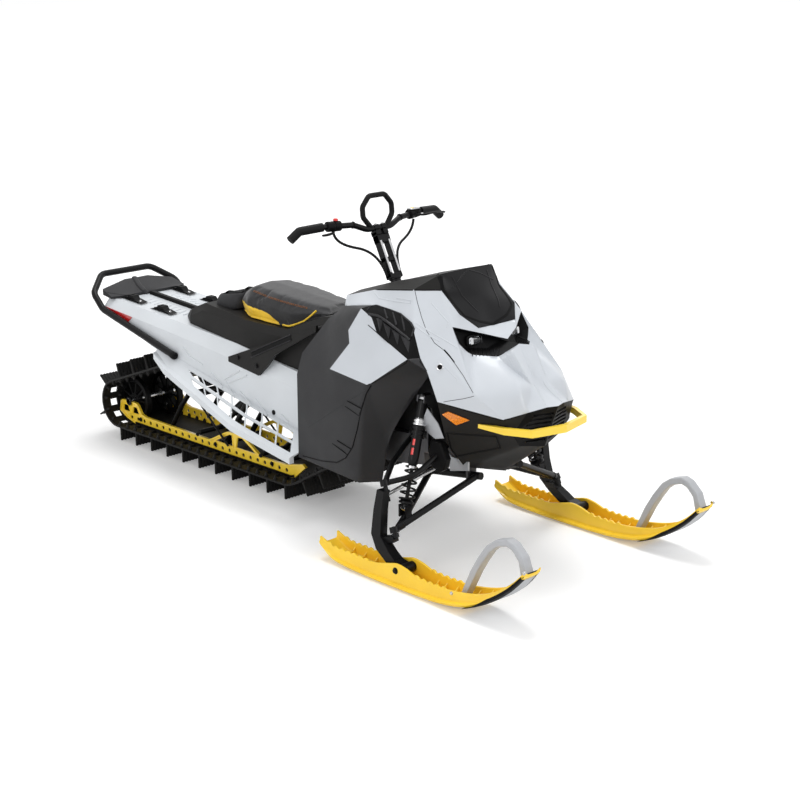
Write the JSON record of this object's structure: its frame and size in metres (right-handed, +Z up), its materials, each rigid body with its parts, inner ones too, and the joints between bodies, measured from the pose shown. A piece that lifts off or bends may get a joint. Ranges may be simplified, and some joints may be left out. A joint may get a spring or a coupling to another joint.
{
  "type": "snowmobile",
  "caption": "Mountain snowmobile with steered skis on curved spindles, a long paddle track under a folded tunnel, faceted nose panels, seat and riser handlebar.",
  "frame": {"origin": "on the ground under the middle of the machine's bounding box", "axes": "+X forward along the machine, +Y to the rider's left, +Z up"},
  "size_m": [2.878, 1.072, 1.2521],
  "materials": {
    "amber_lens": "amber reflector",
    "bare_aluminium": "cast aluminium",
    "black_plastic": "black moulded plastic",
    "black_steel": "black powder-coated steel",
    "bright_steel": "plain machined steel",
    "dark_plastic": "charcoal moulded plastic, fine texture",
    "grey_plastic": "light grey moulded plastic",
    "grip_rubber": "black grip rubber",
    "lamp_lens": "clear lamp lens",
    "light_panel": "pale grey moulded panels, satin gloss",
    "red_lens": "red reflector",
    "seat_cover": "black seat vinyl with a yellow wedge and orange stitching",
    "smoked_screen": "dark smoked polycarbonate",
    "track_rubber": "black track rubber",
    "tunnel_paint": "pale grey powder-coated aluminium sheet",
    "yellow_paint": "warm yellow powder coat",
    "yellow_plastic": "warm yellow moulded plastic"
  },
  "bodies": {
    "chassis": {"belly": "dark_plastic", "bulkhead": "bare_aluminium", "cargo_anchors": "dark_plastic", "coolant_tube": "dark_plastic", "dash": "dark_plastic", "engine_block": "bare_aluminium", "front_bumper": "yellow_paint", "front_reflectors": "amber_lens", "front_shocks": "black_steel", "grille": "dark_plastic", "headlights": "lamp_lens", "hood": "light_panel", "hood_sides": "light_panel", "lamp_housing": "dark_plastic", "lower_arms": "black_steel", "rear_grab_bar": "black_steel", "running_boards": "tunnel_paint", "seat": "seat_cover", "seat_base": "dark_plastic", "seat_brackets": "dark_plastic", "shock_springs": "black_steel", "side_panels": "dark_plastic", "side_reflectors": "red_lens", "side_vents": "dark_plastic", "skid_arms": "black_steel", "skid_shocks": "black_steel", "slide_rails": "yellow_paint", "snow_flap": "dark_plastic", "steering_support": "black_steel", "track": "track_rubber", "track_wheels": "black_plastic", "tunnel": "tunnel_paint", "upper_arms": "black_steel", "upper_panels": "light_panel", "wheel_axles": "bright_steel", "windscreen": "smoked_screen"},
    "steering": {"steering_post": "black_steel", "handlebar": "black_steel", "grips": "grip_rubber", "strap_loop": "grip_rubber", "throttle_block": "black_plastic", "brake_cylinder": "black_plastic", "control_cables": "grip_rubber"},
    "spindle_left": {"spindle_left": "black_steel"},
    "ski_left": {"ski_left": "yellow_plastic", "ski_loop_left": "grey_plastic"},
    "tie_rod_left": {"tie_rod_left": "bright_steel"},
    "spindle_right": {"spindle_right": "black_steel"},
    "ski_right": {"ski_right": "yellow_plastic", "ski_loop_right": "grey_plastic"},
    "tie_rod_right": {"tie_rod_right": "bright_steel"}
  },
  "joints": [
    {"name": "handlebar_steer", "type": "hinge", "parent": "chassis", "child": "steering", "pos_m": [0.311, 0, 0.94], "axis": [-0.4555, 0, 0.8902], "range_deg": [-36, 36]},
    {"name": "spindle_left_steer", "type": "hinge", "parent": "chassis", "child": "spindle_left", "pos_m": [0.687, 0.412, 0.32], "axis": [-0.3921, -0.0951, 0.915], "range_deg": [-27, 27]},
    {"name": "ski_left_pitch", "type": "hinge", "parent": "spindle_left", "child": "ski_left", "pos_m": [0.845, 0.462, 0.055], "axis": [0, 1, 0], "range_deg": [-14, 14]},
    {"name": "tie_rod_left_swing", "type": "hinge", "parent": "spindle_left", "child": "tie_rod_left", "pos_m": [0.667, 0.382, 0.246], "axis": [-0.3921, -0.0951, 0.915], "range_deg": [-27, 27]},
    {"name": "spindle_right_steer", "type": "hinge", "parent": "chassis", "child": "spindle_right", "pos_m": [0.687, -0.412, 0.32], "axis": [-0.3921, 0.0951, 0.915], "range_deg": [-27, 27]},
    {"name": "ski_right_pitch", "type": "hinge", "parent": "spindle_right", "child": "ski_right", "pos_m": [0.845, -0.462, 0.055], "axis": [0, 1, 0], "range_deg": [-14, 14]},
    {"name": "tie_rod_right_swing", "type": "hinge", "parent": "spindle_right", "child": "tie_rod_right", "pos_m": [0.667, -0.382, 0.246], "axis": [-0.3921, 0.0951, 0.915], "range_deg": [-27, 27]}
  ],
  "couplings": [
    {"joint": "spindle_left_steer", "follows": "handlebar_steer", "ratio": 0.75},
    {"joint": "tie_rod_left_swing", "follows": "handlebar_steer", "ratio": -0.75},
    {"joint": "spindle_right_steer", "follows": "handlebar_steer", "ratio": 0.75},
    {"joint": "tie_rod_right_swing", "follows": "handlebar_steer", "ratio": -0.75}
  ]
}
